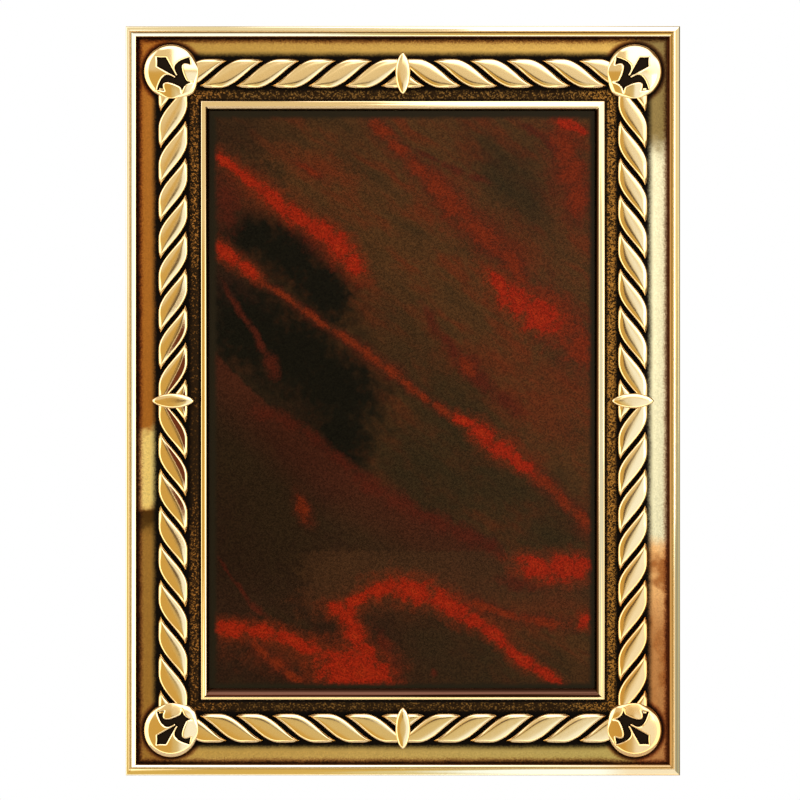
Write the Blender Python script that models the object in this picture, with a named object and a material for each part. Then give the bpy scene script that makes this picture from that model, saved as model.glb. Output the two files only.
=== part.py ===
import bpy
import bmesh
import math
from mathutils import Matrix, Vector

# Driving sizes, in metres
PLAQUE_WIDTH = 0.145
PLAQUE_HEIGHT = 0.196
FIT_GAP = 0.0003

# Outer moulding, each width measured inward from the last
SIDE_HEIGHT = 0.0036
RIM_ROUND = 0.0005
RIM_ROUND_RISE = 0.0005
RIM_BAND = 0.00095
RIM_BAND_RISE = 0.0001
GROOVE_SLOPE = 0.00015
GROOVE_FLOOR = 0.0002
GROOVE_DEPTH = 0.0004
RIM_LINE = 0.0006
RIM_FALL = 0.0003
FIELD_FOOT = 0.0020
FIELD_TOP = 0.0026
FIELD_SLOPE = 0.0052

# Inner bead and recess
BEAD_INSET = 0.0195
BEAD_RISE = 0.0009
BEAD_SLOPE = 0.0004
BEAD_CREST = 0.00115
BEVEL_RUN = 0.0006
BEVEL_END_RUN = 0.0011
BEVEL_DROP = 0.0011
RECESS_FLOOR = 0.0016
PLATE_THICKNESS = 0.0006

# Rope border, its strands measured in pitches along the side
ROPE_INSET = 0.0124
ROPE_CENTRE_X = PLAQUE_WIDTH / 2 - ROPE_INSET
ROPE_CENTRE_Y = PLAQUE_HEIGHT / 2 - ROPE_INSET
ROPE_HALF_WIDTH = 0.00385
SHORT_PITCH = 0.0095
LONG_PITCH = 0.00965
STRAND_SPAN = 1.77
STRAND_CROSSING = 0.47
STRAND_QUARTER = 0.74
STRAND_TIP_POWER = 5
STRAND_SHOULDER = 0.0014
STRAND_RISE = 0.0019
STRAND_BEVEL = 0.0006
STRAND_DRAFT = 0.0001
STRAND_PINCH = 0.35
STRAND_CUTS = 8
FIRST_TIP = 0.0058
MIDDLE_CLEAR = 0.0010
SHORTEST_STUB = 0.0015
SINK = 0.0004

# Corner bosses
BOSS_INSET = 0.01185
BOSS_X = PLAQUE_WIDTH / 2 - BOSS_INSET
BOSS_Y = PLAQUE_HEIGHT / 2 - BOSS_INSET
BOSS_RADIUS = 0.0071
BOSS_SEGMENTS = 32
BOSS_SHOULDER = 0.0020
BOSS_BEVEL = 0.0006
BOSS_BEVEL_RISE = 0.0004
BOSS_DOME_RING = 0.0029
BOSS_DOME_RISE = 0.0002
BOSS_COVER = 0.0045
LOBE_REACH = 0.0011
LOBE_SPREAD = 0.42

# Long beads at the middle of each side
DROP_LENGTH = 0.0110
DROP_WIDTH = 0.0039
DROP_SHOULDER = 0.0017
DROP_RISE = 0.0024
DROP_INSET = 0.6
DROP_CUTS = 8

# Fleur-de-lis, as across and towards the outer corner
LILY_DEPTH = 0.0008
LILY_TIP = (0.0, 0.0052)
LILY_SHOULDER = (0.00165, 0.00345)
LILY_SHOULDER_BEND = (0.0006, 0.0043)
LILY_STEM = (0.00016, -0.00185)
PETAL_FORK = (0.0005, -0.0020)
PETAL_RISE = (0.0010, 0.0009)
PETAL_CREST = (0.0026, 0.0010)
PETAL_TIP = (0.0060, -0.00085)
PETAL_BARB = (0.0049, -0.00245)
PETAL_HOLLOW = (0.0039, 0.0002)
PETAL_UNDER = (0.0024, -0.0006)
LILY_WAIST = (0.00115, -0.0046)
FOOT_BEND = (0.00115, -0.0053)
FOOT_TIP = (0.00195, -0.0060)
FOOT_ARCH = (0.0009, -0.0053)
FOOT_MIDDLE = (0.0, -0.0053)
CURVE_CUTS = 5

# Turns the lying model upright, front towards -Y
UPRIGHT = Matrix.Rotation(math.radians(90), 4, "X")


def clear_scene():
    for thing in list(bpy.data.objects):
        bpy.data.objects.remove(thing)


def make_material(name, colour, roughness, metallic):
    material = bpy.data.materials.new(name)
    material.use_nodes = True
    shader = material.node_tree.nodes["Principled BSDF"]
    shader.inputs["Base Color"].default_value = colour
    shader.inputs["Roughness"].default_value = roughness
    shader.inputs["Metallic"].default_value = metallic
    material.diffuse_color = colour
    return material


def finish(name, bm, material=None):
    bmesh.ops.recalc_face_normals(bm, faces=bm.faces)
    bmesh.ops.transform(bm, matrix=UPRIGHT, verts=bm.verts)
    mesh = bpy.data.meshes.new(name)
    bm.to_mesh(mesh)
    bm.free()
    thing = bpy.data.objects.new(name, mesh)
    bpy.context.scene.collection.objects.link(thing)
    if material:
        mesh.materials.append(material)
    return thing


def block(bm, half_x, half_y, bottom, top):
    signs = [(-1, -1), (1, -1), (1, 1), (-1, 1)]
    ring = [Vector((half_x * x, half_y * y, bottom)) for x, y in signs]
    return stack(bm, [ring, lifted(ring, top - bottom)])


def lifted(ring, rise):
    return [point + Vector((0, 0, rise)) for point in ring]


def stack(bm, rings):
    """Builds one closed solid through rings of equal length and returns its top face."""
    base = bm.faces.new([bm.verts.new(point) for point in rings[0]])
    front = base
    lower = list(base.verts)
    for ring in rings[1:]:
        top = raise_face(bm, front, front is not base)
        upper = []
        for vert in lower:
            link = [v for v in top.verts if (v.co - vert.co).length < 1e-9]
            upper.append(link[0])
        for vert, point in zip(upper, ring):
            vert.co = point
        lower = upper
        front = top
    return front


def raise_face(bm, face, replace):
    """Extrudes a face in place and returns the new one, replacing the old or keeping it."""
    made = bmesh.ops.extrude_face_region(bm, geom=[face])["geom"]
    top = [item for item in made if isinstance(item, bmesh.types.BMFace)][0]
    if replace:
        bmesh.ops.delete(bm, geom=[face], context="FACES_ONLY")
    return top


def step(bm, face, inward, rise):
    """Insets the face and lifts what is left of it."""
    bmesh.ops.inset_region(bm, faces=[face], thickness=inward, use_even_offset=True)
    bmesh.ops.translate(bm, verts=face.verts, vec=(0, 0, rise))


def build_moulding():
    bm = bmesh.new()
    face = block(bm, PLAQUE_WIDTH / 2, PLAQUE_HEIGHT / 2, 0, SIDE_HEIGHT)
    step(bm, face, RIM_ROUND, RIM_ROUND_RISE)
    step(bm, face, RIM_BAND, RIM_BAND_RISE)
    step(bm, face, GROOVE_SLOPE, -GROOVE_DEPTH)
    step(bm, face, GROOVE_FLOOR, 0)
    step(bm, face, GROOVE_SLOPE, GROOVE_DEPTH)
    step(bm, face, RIM_LINE, 0)
    rim_top = SIDE_HEIGHT + RIM_ROUND_RISE + RIM_BAND_RISE
    step(bm, face, RIM_FALL, FIELD_FOOT - rim_top)
    step(bm, face, FIELD_SLOPE, FIELD_TOP - FIELD_FOOT)
    step(bm, face, abs(face.verts[0].co.x) - PLAQUE_WIDTH / 2 + BEAD_INSET, 0)
    step(bm, face, BEAD_SLOPE, BEAD_RISE)
    step(bm, face, BEAD_CREST, 0)
    step(bm, face, BEVEL_RUN, -BEVEL_DROP)
    for vert in face.verts:
        vert.co.y -= math.copysign(BEVEL_END_RUN - BEVEL_RUN, vert.co.y)
    corner = face.verts[0].co
    opening = (abs(corner.x), abs(corner.y))
    sink = FIELD_TOP + BEAD_RISE - BEVEL_DROP - RECESS_FLOOR
    floor = raise_face(bm, face, True)
    bmesh.ops.translate(bm, verts=floor.verts, vec=(0, 0, -sink))
    return bm, opening


def strand_edge(run, pitch):
    """Outer boundary of one strand, run metres from its inner tip."""
    crossing = STRAND_CROSSING * pitch
    quarter = STRAND_QUARTER * pitch
    turn = (run - crossing) / quarter
    if turn < 1:
        return ROPE_HALF_WIDTH * math.sin(turn * math.pi / 2)
    tip = math.sin(crossing / quarter * math.pi / 2)
    part = (run - crossing - quarter) / (STRAND_SPAN * pitch - crossing - quarter)
    return ROPE_HALF_WIDTH * (1 - (1 - tip) * part ** STRAND_TIP_POWER)


def strand_ring(inset, pitch):
    """Leaf-shaped outline of a strand, drawn in by inset on every side."""
    upper = []
    lower = []
    length = STRAND_SPAN * pitch
    for index in range(STRAND_CUTS + 1):
        run = inset + (length - 2 * inset) * index / STRAND_CUTS
        top = strand_edge(run, pitch)
        low = -strand_edge(length - run, pitch)
        pinch = min(inset / math.cos(math.pi / 4), (top - low) * STRAND_PINCH)
        if index in (0, STRAND_CUTS):
            upper.append((run, (top + low) / 2))
        else:
            upper.append((run, top - pinch))
            lower.append((run, low + pinch))
    return upper + lower[::-1]


def add_side(bm, pitch, boss_at, place):
    """Adds the strands from the middle of a side to the boss at its end."""
    reach = boss_at - BOSS_RADIUS - SHORTEST_STUB + STRAND_SPAN * pitch - FIRST_TIP
    for index in range(math.ceil(reach / pitch)):
        add_strand(bm, FIRST_TIP + pitch * index, pitch, boss_at - BOSS_COVER, place)


def add_strand(bm, tip_at, pitch, furthest, place):
    """Adds one strand whose inner tip is tip_at metres from the middle of its side."""
    heights = [(0, -SINK), (STRAND_DRAFT, STRAND_SHOULDER), (STRAND_BEVEL, STRAND_RISE)]
    rings = []
    for inset, rise in heights:
        height = FIELD_TOP + rise
        rings.append([Vector((tip_at - a, b, height)) for a, b in strand_ring(inset, pitch)])
    piece = bmesh.new()
    stack(piece, rings)
    trim(piece, MIDDLE_CLEAR, 1)
    trim(piece, furthest, -1)
    for vert in piece.verts:
        vert.co = place(vert.co)
    bmesh.ops.recalc_face_normals(piece, faces=piece.faces)
    mesh = bpy.data.meshes.new("strand")
    piece.to_mesh(mesh)
    piece.free()
    bm.from_mesh(mesh)
    bpy.data.meshes.remove(mesh)


def trim(piece, limit, keep):
    """Cuts away everything before or beyond limit along the side and closes the cut."""
    geom = list(piece.verts) + list(piece.edges) + list(piece.faces)
    cut = bmesh.ops.bisect_plane(
        piece,
        geom=geom,
        plane_co=(limit, 0, 0),
        plane_no=(-keep, 0, 0),
        clear_outer=True,
    )["geom_cut"]
    edges = [item for item in cut if isinstance(item, bmesh.types.BMEdge)]
    if edges:
        bmesh.ops.contextual_create(piece, geom=edges)


def build_rope():
    bm = bmesh.new()
    for side_x, side_y in corners():
        add_side(
            bm,
            SHORT_PITCH,
            BOSS_X,
            lambda co: Vector((side_x * co.x, side_y * (ROPE_CENTRE_Y + co.y), co.z)),
        )
        add_side(
            bm,
            LONG_PITCH,
            BOSS_Y,
            lambda co: Vector((side_x * (ROPE_CENTRE_X + co.y), side_y * co.x, co.z)),
        )
    return bm


def boss_ring(side_x, side_y, radius, height):
    """Round outline of a boss, with a lobe towards the middle of the plaque."""
    ring = []
    for index in range(BOSS_SEGMENTS):
        angle = 2 * math.pi * (index + 0.5) / BOSS_SEGMENTS - math.pi
        reach = radius + LOBE_REACH * math.exp(-(angle / LOBE_SPREAD) ** 2)
        across = reach * math.sin(angle)
        outward = -reach * math.cos(angle)
        ring.append(corner_point(side_x, side_y, across, outward, height))
    return ring


def corners():
    return [(x, y) for x in (-1, 1) for y in (-1, 1)]


def build_bosses():
    bm = bmesh.new()
    shoulder = FIELD_TOP + BOSS_SHOULDER
    brow = BOSS_RADIUS - BOSS_BEVEL
    brow_height = shoulder + BOSS_BEVEL_RISE
    for side_x, side_y in corners():
        stack(bm, [
            boss_ring(side_x, side_y, BOSS_RADIUS, FIELD_FOOT - SINK),
            boss_ring(side_x, side_y, BOSS_RADIUS, shoulder),
            boss_ring(side_x, side_y, brow, brow_height),
            boss_ring(side_x, side_y, brow - BOSS_DOME_RING, brow_height + BOSS_DOME_RISE),
        ])
    return bm


def corner_point(side_x, side_y, across, outward, height):
    """Point at a corner boss, across its diagonal and outward along it."""
    half = math.sqrt(0.5)
    x = side_x * (BOSS_X + half * (outward + across))
    y = side_y * (BOSS_Y + half * (outward - across))
    return Vector((x, y, height))


def drop_ring(scale):
    """Pointed oval outline, as along and across."""
    ring = []
    for side in (1, -1):
        for index in range(DROP_CUTS):
            part = index / DROP_CUTS
            along = side * DROP_LENGTH / 2 * math.cos(math.pi * part)
            across = side * DROP_WIDTH / 2 * math.sin(math.pi * part) ** 1.3
            ring.append((along * scale, across * scale))
    return ring


def build_drops():
    bm = bmesh.new()
    levels = [(1, -SINK), (1, DROP_SHOULDER), (DROP_INSET, DROP_RISE)]
    for side in (-1, 1):
        rings = []
        for scale, rise in levels:
            height = FIELD_TOP + rise
            rings.append([Vector((b, side * ROPE_CENTRE_Y + a, height)) for a, b in drop_ring(scale)])
        stack(bm, rings)
        rings = []
        for scale, rise in levels:
            height = FIELD_TOP + rise
            rings.append([Vector((side * ROPE_CENTRE_X + a, b, height)) for a, b in drop_ring(scale)])
        stack(bm, rings)
    return bm


def curve(*controls):
    """Bezier curve through its first and last control, without the last point."""
    points = []
    order = len(controls) - 1
    for index in range(CURVE_CUTS):
        part = index / CURVE_CUTS
        across = 0
        outward = 0
        for rank, control in enumerate(controls):
            weight = math.comb(order, rank) * part ** rank * (1 - part) ** (order - rank)
            across += weight * control[0]
            outward += weight * control[1]
        points.append((across, outward))
    return points


def lily_outline():
    half = curve(LILY_TIP, LILY_SHOULDER_BEND, LILY_SHOULDER)
    half += [LILY_SHOULDER, LILY_STEM]
    half += curve(PETAL_FORK, PETAL_RISE, PETAL_CREST, PETAL_TIP)
    half += [PETAL_TIP]
    half += curve(PETAL_BARB, PETAL_HOLLOW, PETAL_UNDER, LILY_WAIST)
    half += curve(LILY_WAIST, FOOT_BEND, FOOT_TIP)
    half += curve(FOOT_TIP, FOOT_ARCH, FOOT_MIDDLE)
    mirrored = [(-across, outward) for across, outward in half[:0:-1]]
    return half + [FOOT_MIDDLE] + mirrored


def build_lilies():
    bm = bmesh.new()
    floor = FIELD_TOP + BOSS_SHOULDER + BOSS_BEVEL_RISE - LILY_DEPTH
    for side_x, side_y in corners():
        ring = [corner_point(side_x, side_y, a, b, floor) for a, b in lily_outline()]
        stack(bm, [ring, lifted(ring, 2 * LILY_DEPTH + BOSS_DOME_RISE)])
    return bm


def add_boolean(frame, tool, operation):
    tool.hide_render = True
    tool.display_type = "WIRE"
    modifier = frame.modifiers.new(tool.name, "BOOLEAN")
    modifier.operation = operation
    modifier.solver = "EXACT"
    modifier.object = tool


def build():
    clear_scene()
    brass = make_material("antique brass", (0.62, 0.42, 0.17, 1), 0.35, 1.0)
    marbled = make_material("marbled lacquer", (0.10, 0.03, 0.02, 1), 0.30, 0.0)
    moulding, opening = build_moulding()
    frame = finish("frame", moulding, brass)
    add_boolean(frame, finish("rope", build_rope()), "UNION")
    add_boolean(frame, finish("bosses", build_bosses()), "UNION")
    add_boolean(frame, finish("drops", build_drops()), "UNION")
    add_boolean(frame, finish("lilies", build_lilies()), "DIFFERENCE")
    plate = bmesh.new()
    bottom = RECESS_FLOOR + FIT_GAP
    half_x = opening[0] - FIT_GAP
    half_y = opening[1] - FIT_GAP
    block(plate, half_x, half_y, bottom, bottom + PLATE_THICKNESS)
    finish("engraving_plate", plate, marbled)


build()
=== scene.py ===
import itertools
import math
import bpy
import bmesh
from mathutils import Matrix, Vector


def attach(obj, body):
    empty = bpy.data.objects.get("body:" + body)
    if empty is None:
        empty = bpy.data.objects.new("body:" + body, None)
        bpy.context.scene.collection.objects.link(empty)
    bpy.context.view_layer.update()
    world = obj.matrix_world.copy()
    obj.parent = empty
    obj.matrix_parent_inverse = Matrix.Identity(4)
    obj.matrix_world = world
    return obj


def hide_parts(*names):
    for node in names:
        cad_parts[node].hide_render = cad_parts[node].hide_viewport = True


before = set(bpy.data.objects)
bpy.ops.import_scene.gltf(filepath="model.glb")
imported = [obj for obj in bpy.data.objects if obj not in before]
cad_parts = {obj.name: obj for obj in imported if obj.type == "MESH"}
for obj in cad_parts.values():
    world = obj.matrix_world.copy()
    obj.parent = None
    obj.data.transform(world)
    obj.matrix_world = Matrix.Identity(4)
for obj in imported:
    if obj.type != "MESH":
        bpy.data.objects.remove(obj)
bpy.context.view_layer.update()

# The plaque is modelled lying on its back in millimetres, then stood up in metres
upright = Matrix.Rotation(math.radians(90), 4, "X") @ Matrix.Scale(0.001, 4)

plaque = {
    "width": 145.0,
    "height": 196.0,
    "field": 2.6,  # height of the ground that the rope lies on
    "foot": 2.0,  # height at the foot of the outer moulding
}


def smooth(low, high, value):
    part = min(max((value - low) / (high - low), 0.0), 1.0)
    return part * part * (3 - 2 * part)


def startRing(bm, points):
    # a filled ring to grow a solid from
    bmesh.ops.create_circle(bm, cap_ends=True, segments=len(points), radius=1)
    cap = bm.faces[:][-1]
    for vert, point in zip(cap.verts, points):
        vert.co = point
    return cap


def growRing(bm, cap, points, wearAndShade, wear):
    # the next ring of the solid, with its wear
    cap = bmesh.ops.extrude_discrete_faces(bm, faces=[cap])["faces"][0]
    for vert, point in zip(cap.verts, points):
        vert.co = point
        vert[wearAndShade] = wear
    return cap


def closeUp(bm):
    bm.edges.ensure_lookup_table()
    rims = [edge for edge in bm.edges if edge.is_boundary]
    bmesh.ops.holes_fill(bm, edges=rims)
    bmesh.ops.recalc_face_normals(bm, faces=bm.faces)


def addTo(target, bm):
    # joins a finished shell to the piece it belongs to
    mesh = bpy.data.meshes.new("shell")
    bm.to_mesh(mesh)
    bm.free()
    target.from_mesh(mesh)
    bpy.data.meshes.remove(mesh)


def makePiece(name, bm, body, smoothed=True):
    bmesh.ops.transform(bm, matrix=upright, verts=bm.verts)
    mesh = bpy.data.meshes.new(name)
    bm.to_mesh(mesh)
    bm.free()
    piece = bpy.data.objects.new(name, mesh)
    bpy.context.scene.collection.objects.link(piece)
    for face in mesh.polygons:
        face.use_smooth = smoothed
    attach(piece, body)
    return piece


moulding = {
    "side": 3.6,
    "roundWidth": 0.5,
    "roundRise": 0.5,
    "bandRise": 0.18,
    # widths of the outer band, the raised line and its fall: left, right, bottom, top
    "band": (0.45, 1.00, 1.18, 0.74),
    "line": (1.22, 0.84, 0.78, 1.04),
    "fall": (0.43, 0.26, 0.14, 0.32),
    "hair": 0.01,  # even inset that an uneven step starts with
    "grooveWidth": 0.34,
    "grooveShares": (0.4, 0.35, 0.3),  # of its width: down, along its bottom, up
    "grooveDepth": 0.14,
    "grooveWorn": 0.3,
    "lineFall": 0.4,
    "lineEndWorn": 0.6,
    "fieldWidth": 5.2,
    "fieldSag": 0.12,
    "fieldSteps": 8,
    "beadInset": 19.5,
    "beadRise": 0.75,
    "beadRound": 0.45,
    "beadFootWorn": 0.4,
    # widths of the bead's crest and inner bevel: left, right, bottom, top
    "crest": (0.85, 1.3, 0.35, 1.12),
    "crestParts": ((0.34, 0.09), (0.4, 0.04), (0.26, 0.09)),  # share of the width, rise
    "bevel": (0.75, 0.8, 2.08, 0.9),
    "bevelParts": ((0.32, 0.16), (0.32, 0.34), (0.36, 0.5)),  # share of the width, fall
    "bevelWorn": 0.9,
    "shiftUp": 0.12,  # the opening sits a little high
    "floor": 1.6,
    "steps": 6,
}


def stepIn(bm, face, inward, rise, wearAndShade, wear):
    bmesh.ops.inset_region(bm, faces=[face], thickness=inward, use_even_offset=True)
    for vert in face.verts:
        vert.co.z += rise
        vert[wearAndShade] = wear


def stepSides(bm, face, sides, share, rise, wearAndShade, wear):
    # a step with a run of its own on each side
    left, right, bottom, top = sides
    stepIn(bm, face, moulding["hair"], rise, wearAndShade, wear)
    for vert in face.verts:
        vert.co.x += share * (left if vert.co.x < 0 else -right)
        vert.co.y += share * (bottom if vert.co.y < 0 else -top)


def roundIn(bm, face, width, rise, wearAndShade, footWorn):
    # a quarter round from upright to level, more polished as it rises
    steps = moulding["steps"]
    for index in range(steps):
        a = math.radians(90 * index / steps)
        b = math.radians(90 * (index + 1) / steps)
        run = (math.cos(a) - math.cos(b)) * width
        lift = (math.sin(b) - math.sin(a)) * rise
        stepIn(bm, face, run, lift, wearAndShade, footWorn + (1 - footWorn) * (index + 1) / steps)


def buildMoulding():
    bm = bmesh.new()
    wearAndShade = bm.verts.layers.float.new("wearAndShade")
    size = moulding
    bmesh.ops.create_grid(bm, x_segments=1, y_segments=1, size=1)
    halfX = plaque["width"] / 2
    halfY = plaque["height"] / 2
    bmesh.ops.scale(bm, vec=(halfX, halfY, 1), verts=bm.verts)
    face = bm.faces[:][0]
    for vert in face.verts:
        vert[wearAndShade] = 1.0
    face = bmesh.ops.extrude_discrete_faces(bm, faces=[face])["faces"][0]
    bmesh.ops.translate(bm, vec=(0, 0, size["side"]), verts=face.verts)
    roundIn(bm, face, size["roundWidth"], size["roundRise"], wearAndShade, 1.0)
    stepSides(bm, face, size["band"], 1, size["bandRise"], wearAndShade, 1.0)
    down, along, up = [size["grooveWidth"] * share for share in size["grooveShares"]]
    stepIn(bm, face, down, -size["grooveDepth"], wearAndShade, size["grooveWorn"])
    stepIn(bm, face, along, 0, wearAndShade, size["grooveWorn"])
    # raised line beside the groove, steep outside and falling away inside
    stepIn(bm, face, up, size["grooveDepth"], wearAndShade, 1.0)
    steps = size["steps"]
    for index in range(steps):
        fall = ((index + 1) ** 2 - index ** 2) / steps ** 2 * size["lineFall"]
        wear = 1.0 if index < steps - 1 else size["lineEndWorn"]
        stepSides(bm, face, size["line"], 1 / steps, -fall, wearAndShade, wear)
    top = face.verts[0].co.z
    stepSides(bm, face, size["fall"], 1, plaque["foot"] - top, wearAndShade, 0.0)
    # the field sags a little between the moulding and the rope
    last = 0.0
    for index in range(size["fieldSteps"]):
        part = (index + 1) / size["fieldSteps"]
        height = (plaque["field"] - plaque["foot"]) * part
        height -= size["fieldSag"] * math.sin(math.pi * part)
        run = size["fieldWidth"] / size["fieldSteps"]
        stepIn(bm, face, run, height - last, wearAndShade, 0.0)
        last = height
    stepIn(bm, face, abs(face.verts[0].co.x) - halfX + size["beadInset"], 0, wearAndShade, 0.0)
    bmesh.ops.translate(bm, vec=(0, size["shiftUp"], 0), verts=face.verts)
    # inner bead, rounded on its outer side and bevelled towards the plate
    roundIn(bm, face, size["beadRound"], size["beadRise"], wearAndShade, size["beadFootWorn"])
    for share, rise in size["crestParts"]:
        stepSides(bm, face, size["crest"], share, rise, wearAndShade, 1.0)
    for share, fall in size["bevelParts"]:
        stepSides(bm, face, size["bevel"], share, -fall, wearAndShade, size["bevelWorn"])
    depth = face.verts[0].co.z - size["floor"]
    face = bmesh.ops.extrude_discrete_faces(bm, faces=[face])["faces"][0]
    bmesh.ops.translate(bm, vec=(0, 0, -depth), verts=face.verts)
    for vert in face.verts:
        vert[wearAndShade] = 0.0
    closeUp(bm)
    return bm


rope = {
    "inset": 12.4,
    "halfWidth": 3.85,
    "shortPitch": 9.5,
    "longPitch": 9.65,
    "span": 1.77,
    "crossing": 0.47,
    "quarter": 0.74,
    "tipPower": 5,
    "firstTip": 5.8,
    "shoulder": 1.25,
    "lip": 0.25,  # how far down its side a strand is polished
    "lipWorn": 0.9,
    "bevel": 0.46,
    "bevelRise": 0.5,
    "bevelTurns": (25, 45, 62, 76),
    "dome": 0.11,
    "gathers": (0.06, 0.13, 0.22, 0.33, 0.5, 0.75, 0.92),
    "gatherRun": 0.9,
    "shortCurve": 5,
    "longCurve": 2.7,
    # painted dark reflection on the inner half of the left strands, carried down in the wear
    # attribute
    "darkReflection": 0.74,
    "darkReflectionAt": -4.0,
    "darkReflectionReach": 44.0,
    "sink": 0.4,
    "pinch": 0.35,
    "pinchRun": 1.35,
    "cuts": 20,
    "middleClear": 1.0,
    "bossCover": 4.5,
    "shortestStub": 1.5,
}


def strandEdge(run, pitch):
    crossing = rope["crossing"] * pitch
    quarter = rope["quarter"] * pitch
    turn = (run - crossing) / quarter
    if turn < 1:
        return rope["halfWidth"] * math.sin(turn * math.pi / 2)
    tip = math.sin(crossing / quarter * math.pi / 2)
    part = (run - crossing - quarter) / (rope["span"] * pitch - crossing - quarter)
    return rope["halfWidth"] * (1 - (1 - tip) * part ** rope["tipPower"])


def strandRing(pitch, inset, gather, height):
    # leaf outline drawn in by inset, then gathered towards its middle line
    upper = []
    lower = []
    length = rope["span"] * pitch
    cuts = rope["cuts"]
    for index in range(cuts + 1):
        run = inset + (length - 2 * inset) * index / cuts
        run += gather * rope["gatherRun"] * (1 - 2 * index / cuts)
        top = strandEdge(run, pitch)
        low = -strandEdge(length - run, pitch)
        pinch = min(inset * rope["pinchRun"], (top - low) * rope["pinch"])
        middle = (top + low) / 2
        half = (top - low) / 2 - pinch
        if index in (0, cuts):
            upper.append(Vector((run, middle, height)))
        else:
            upper.append(Vector((run, middle + half * (1 - gather), height)))
            lower.append(Vector((run, middle - half * (1 - gather), height)))
    return upper + lower[::-1]


def buildStrand(pitch, tipAt, furthest, curve, darkReflection):
    bm = bmesh.new()
    wearAndShade = bm.verts.layers.float.new("wearAndShade")
    ground = plaque["field"]
    shoulder = ground + rope["shoulder"]
    cap = startRing(bm, strandRing(pitch, 0, 0, ground - rope["sink"]))
    cap = growRing(bm, cap, strandRing(pitch, 0, 0, shoulder - rope["lip"]), wearAndShade, 0.0)
    cap = growRing(bm, cap, strandRing(pitch, 0, 0, shoulder), wearAndShade, rope["lipWorn"])
    for turn in rope["bevelTurns"]:
        inset = rope["bevel"] * (1 - math.cos(math.radians(turn)))
        height = shoulder + rope["bevelRise"] * math.sin(math.radians(turn))
        cap = growRing(bm, cap, strandRing(pitch, inset, 0, height), wearAndShade, 1.0)
    top = cap.verts[0].co.z
    for gather in rope["gathers"]:
        height = top + rope["dome"] * (1 - (1 - gather) ** curve)
        ring = strandRing(pitch, inset, gather, height)
        cap = growRing(bm, cap, ring, wearAndShade, 1.0)
        # the painted dark reflection fades towards both tips, the edge and the middle line
        shade = darkReflection * smooth(0.02, 0.13, gather) * smooth(0.97, 0.6, gather)
        inner = cap.verts[:][rope["cuts"] + 1:]
        for index, vert in enumerate(inner):
            vert[wearAndShade] -= shade * math.sin(math.pi * (index + 1) / rope["cuts"]) ** 0.5
    closeUp(bm)
    for vert in bm.verts:
        vert.co.x = tipAt - vert.co.x
    for limit, keep in ((rope["middleClear"], -1), (furthest, 1)):
        geometry = bm.verts[:] + bm.edges[:] + bm.faces[:]
        bmesh.ops.bisect_plane(
            bm,
            geom=geometry,
            plane_co=(limit, 0, 0),
            plane_no=(keep, 0, 0),
            clear_outer=True,
        )
    closeUp(bm)
    return bm


def strandDarkReflection(along):
    # how dark the painted reflection is on a strand at one height of the left side
    away = (along - rope["darkReflectionAt"]) / rope["darkReflectionReach"]
    return rope["darkReflection"] * math.exp(-away * away)


def buildRope(target):
    halfX = plaque["width"] / 2
    halfY = plaque["height"] / 2
    sides = (
        (rope["shortPitch"], halfX - boss["inset"], halfY - rope["inset"], False),
        (rope["longPitch"], halfY - boss["inset"], halfX - rope["inset"], True),
    )
    corners = [(signX, signY) for signX in (-1, 1) for signY in (-1, 1)]
    for pitch, bossAt, centre, standing in sides:
        curve = rope["longCurve"] if standing else rope["shortCurve"]
        length = rope["span"] * pitch
        reach = bossAt - boss["radius"] - rope["shortestStub"] + length
        count = math.ceil((reach - rope["firstTip"]) / pitch)
        tips = [rope["firstTip"] + pitch * index for index in range(count)]
        for tipAt, (signX, signY) in itertools.product(tips, corners):
            # the left strands get a painted dark reflection, strongest near the middle height
            left = standing and signX < 0
            darkReflection = strandDarkReflection(signY * (tipAt - length / 2)) if left else 0.0
            bm = buildStrand(pitch, tipAt, bossAt - rope["bossCover"], curve, darkReflection)
            for vert in bm.verts:
                along, across, height = vert.co
                if standing:
                    vert.co = (signX * (centre + across), signY * along, height)
                else:
                    vert.co = (signX * along, signY * (centre + across), height)
            bmesh.ops.recalc_face_normals(bm, faces=bm.faces)
            addTo(target, bm)


boss = {
    "inset": 11.85,
    "radius": 7.1,
    "rimTop": 2.15,  # height of the rim's inner edge over the field
    "dome": 0.36,
    "lobeReach": 1.1,
    "lobeSpread": 0.42,
    "ropeSpread": 0.34,  # how wide the rim fades where a rope runs in
    "ropeFade": 0.85,
    "ropeTurn": 45,
    "segments": 96,
    "sink": 1.0,
    # the rim from its inner edge: how far out, how far down
    "rim": ((0.25, 0.06), (0.6, 0.18), (0.95, 0.34), (1.12, 0.48), (1.21, 0.68), (1.25, 0.92)),
}

lily = {
    "depth": 0.75,
    "wall": 0.3,
    "lip": 0.34,
    "lipDrop": 0.12,
    "tip": (0.0, 5.2),
    "shoulderBend": (0.6, 4.3),
    "shoulder": (1.65, 3.45),
    "stem": (0.16, -1.85),
    "fork": (0.5, -2.0),
    "rise": (1.0, 0.9),
    "crest": (2.6, 1.0),
    "petalTip": (6.0, -0.85),
    "barb": (4.9, -2.45),
    "hollow": (3.9, 0.2),
    "under": (2.4, -0.6),
    "waist": (1.15, -4.6),
    "footBend": (1.15, -5.3),
    "footTip": (1.95, -6.0),
    "footArch": (0.9, -5.3),
    "footMiddle": (0.0, -5.3),
    "cuts": 8,
}


def bezier(*controls):
    points = []
    order = len(controls) - 1
    for index in range(lily["cuts"]):
        part = index / lily["cuts"]
        point = Vector((0.0, 0.0))
        for rank, control in enumerate(controls):
            weight = math.comb(order, rank) * part ** rank * (1 - part) ** (order - rank)
            point += Vector(control) * weight
        points.append(point)
    return points


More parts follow.
